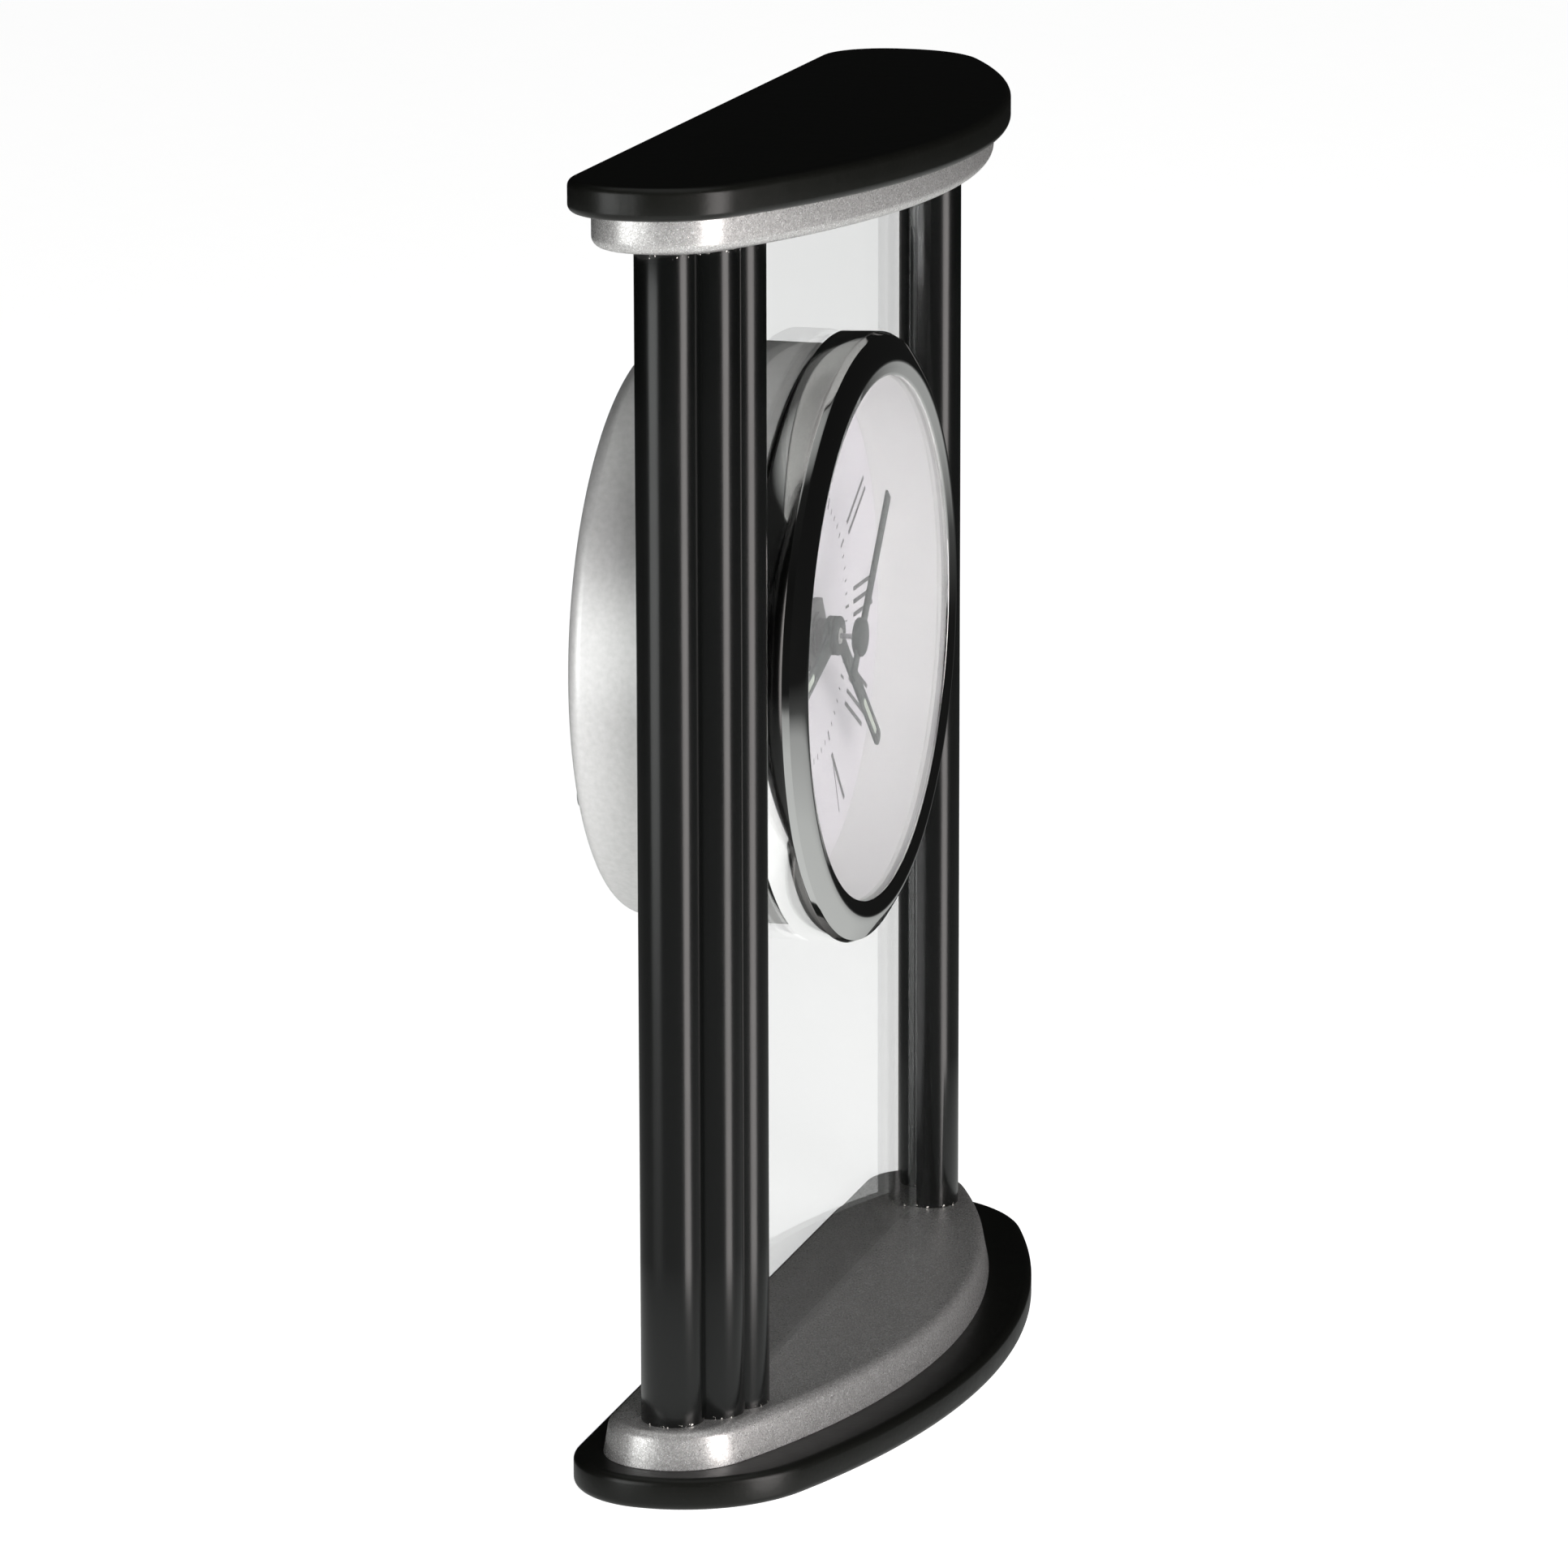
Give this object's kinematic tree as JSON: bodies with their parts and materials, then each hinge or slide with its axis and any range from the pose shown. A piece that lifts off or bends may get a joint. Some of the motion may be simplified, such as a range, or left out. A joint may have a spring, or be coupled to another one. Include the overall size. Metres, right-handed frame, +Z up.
{
  "type": "mantel clock",
  "caption": "Mantel clock with a round bezelled head through a clear glass panel, held between reeded black columns on a stepped base and top.",
  "frame": {"origin": "on the floor under the middle of the clock's own bounding box", "axes": "+X to the right seen from the front, front faces -Y, +Z up"},
  "size_m": [0.1864, 0.0684, 0.235],
  "materials": {
    "felt": "pressed felt",
    "black_lacquer": "satin black lacquer",
    "silver_lacquer": "silver metallic lacquer with a fine sparkle",
    "black_gloss": "glossy black lacquer",
    "zinc_steel": "zinc plated",
    "beech_dowel": "plain beech",
    "plate_glass": "clear plate glass with a green edge",
    "clear_rubber": "soft clear strip",
    "bright_chrome": "polished",
    "black_rubber": "moulded",
    "clear_lens": "clear",
    "white_plastic": "smooth off-white",
    "dial_card": "printed matt off-white",
    "black_plastic": "moulded",
    "satin_silver": "satin silver paint",
    "silver_plastic": "satin silver",
    "battery_jacket": "plain printed sleeve with no text",
    "nickel_spring": "nickel plated",
    "green_board": "solder-masked board",
    "copper_wire": "enamelled copper winding",
    "grey_steel": "plain",
    "buzzer_plastic": "moulded",
    "hand_paint": "dark grey satin paint",
    "lume_paint": "pale luminous paint",
    "white_gear": "natural acetal",
    "yellow_gear": "moulded",
    "knob_plastic": "moulded, finely ribbed"
  },
  "bodies": {
    "clock": {"felt_pad": "felt", "base_plate": "black_lacquer", "base_step": "silver_lacquer", "left_column": "black_gloss", "right_column": "black_gloss", "top_step": "silver_lacquer", "top_plate": "black_lacquer", "base_screws": "zinc_steel", "top_dowels": "beech_dowel", "glass_panel": "plate_glass", "glass_cushion": "clear_rubber", "bezel": "bright_chrome", "bezel_gasket": "black_rubber", "lens": "clear_lens", "reflector_ring": "white_plastic", "dial": "dial_card", "can_gasket": "black_rubber", "retaining_ring": "black_plastic", "rear_can": "satin_silver", "can_screws": "zinc_steel", "door_pin": "zinc_steel", "movement_plate": "black_plastic", "dial_nut": "black_plastic", "movement_case": "black_plastic", "switch_housing": "black_plastic", "battery": "battery_jacket", "battery_contact": "nickel_spring", "battery_spring": "nickel_spring", "circuit_board": "green_board", "coil": "copper_wire", "stator": "grey_steel", "rotor": "grey_steel", "quartz_crystal": "nickel_spring", "buzzer": "buzzer_plastic"},
    "second": {"second_arbor": "grey_steel", "second_hand": "hand_paint"},
    "minute": {"cannon_pinion": "white_gear", "minute_hand": "hand_paint", "minute_lume": "lume_paint"},
    "hour": {"hour_wheel": "white_gear", "hour_hand": "hand_paint", "hour_lume": "lume_paint"},
    "alarm": {"alarm_wheel": "black_plastic", "alarm_hand": "hand_paint"},
    "minute_wheel": {"minute_wheel": "white_gear"},
    "time_knob": {"time_pinion": "white_gear", "time_knob": "knob_plastic"},
    "alarm_knob": {"alarm_pinion": "yellow_gear", "alarm_knob": "knob_plastic"},
    "alarm_switch": {"alarm_switch": "knob_plastic"},
    "battery_door": {"battery_door": "silver_plastic"}
  },
  "joints": [
    {"name": "time_knob_spin", "type": "hinge", "parent": "clock", "child": "time_knob", "pos_m": [-0.01883, 0, 0.14178], "axis": [0, 1, 0], "continuous": true},
    {"name": "minute_spin", "type": "hinge", "parent": "clock", "child": "minute", "pos_m": [0, 0, 0.1393], "axis": [0, 1, 0], "continuous": true},
    {"name": "hour_spin", "type": "hinge", "parent": "clock", "child": "hour", "pos_m": [0, 0, 0.1393], "axis": [0, 1, 0], "continuous": true},
    {"name": "minute_wheel_spin", "type": "hinge", "parent": "clock", "child": "minute_wheel", "pos_m": [-0.0078, 0, 0.15281], "axis": [0, 1, 0], "continuous": true},
    {"name": "second_spin", "type": "hinge", "parent": "clock", "child": "second", "pos_m": [0, 0, 0.1393], "axis": [0, 1, 0], "continuous": true},
    {"name": "alarm_knob_spin", "type": "hinge", "parent": "clock", "child": "alarm_knob", "pos_m": [0.01856, 0, 0.14174], "axis": [0, 1, 0], "continuous": true},
    {"name": "alarm_spin", "type": "hinge", "parent": "clock", "child": "alarm", "pos_m": [0, 0, 0.1393], "axis": [0, 1, 0], "continuous": true},
    {"name": "alarm_switch_slide", "type": "slide", "parent": "clock", "child": "alarm_switch", "axis": [1, 0, 0], "range_m": [0, 0.004]},
    {"name": "battery_door_swing", "type": "hinge", "parent": "clock", "child": "battery_door", "pos_m": [0, 0.0333, 0.1074], "axis": [-1, 0, 0], "range_deg": [0, 105]}
  ],
  "couplings": [
    {"joint": "minute_spin", "follows": "time_knob_spin", "ratio": 1},
    {"joint": "hour_spin", "follows": "time_knob_spin", "ratio": 0.083333},
    {"joint": "minute_wheel_spin", "follows": "time_knob_spin", "ratio": -0.33333},
    {"joint": "alarm_spin", "follows": "alarm_knob_spin", "ratio": -0.5}
  ]
}
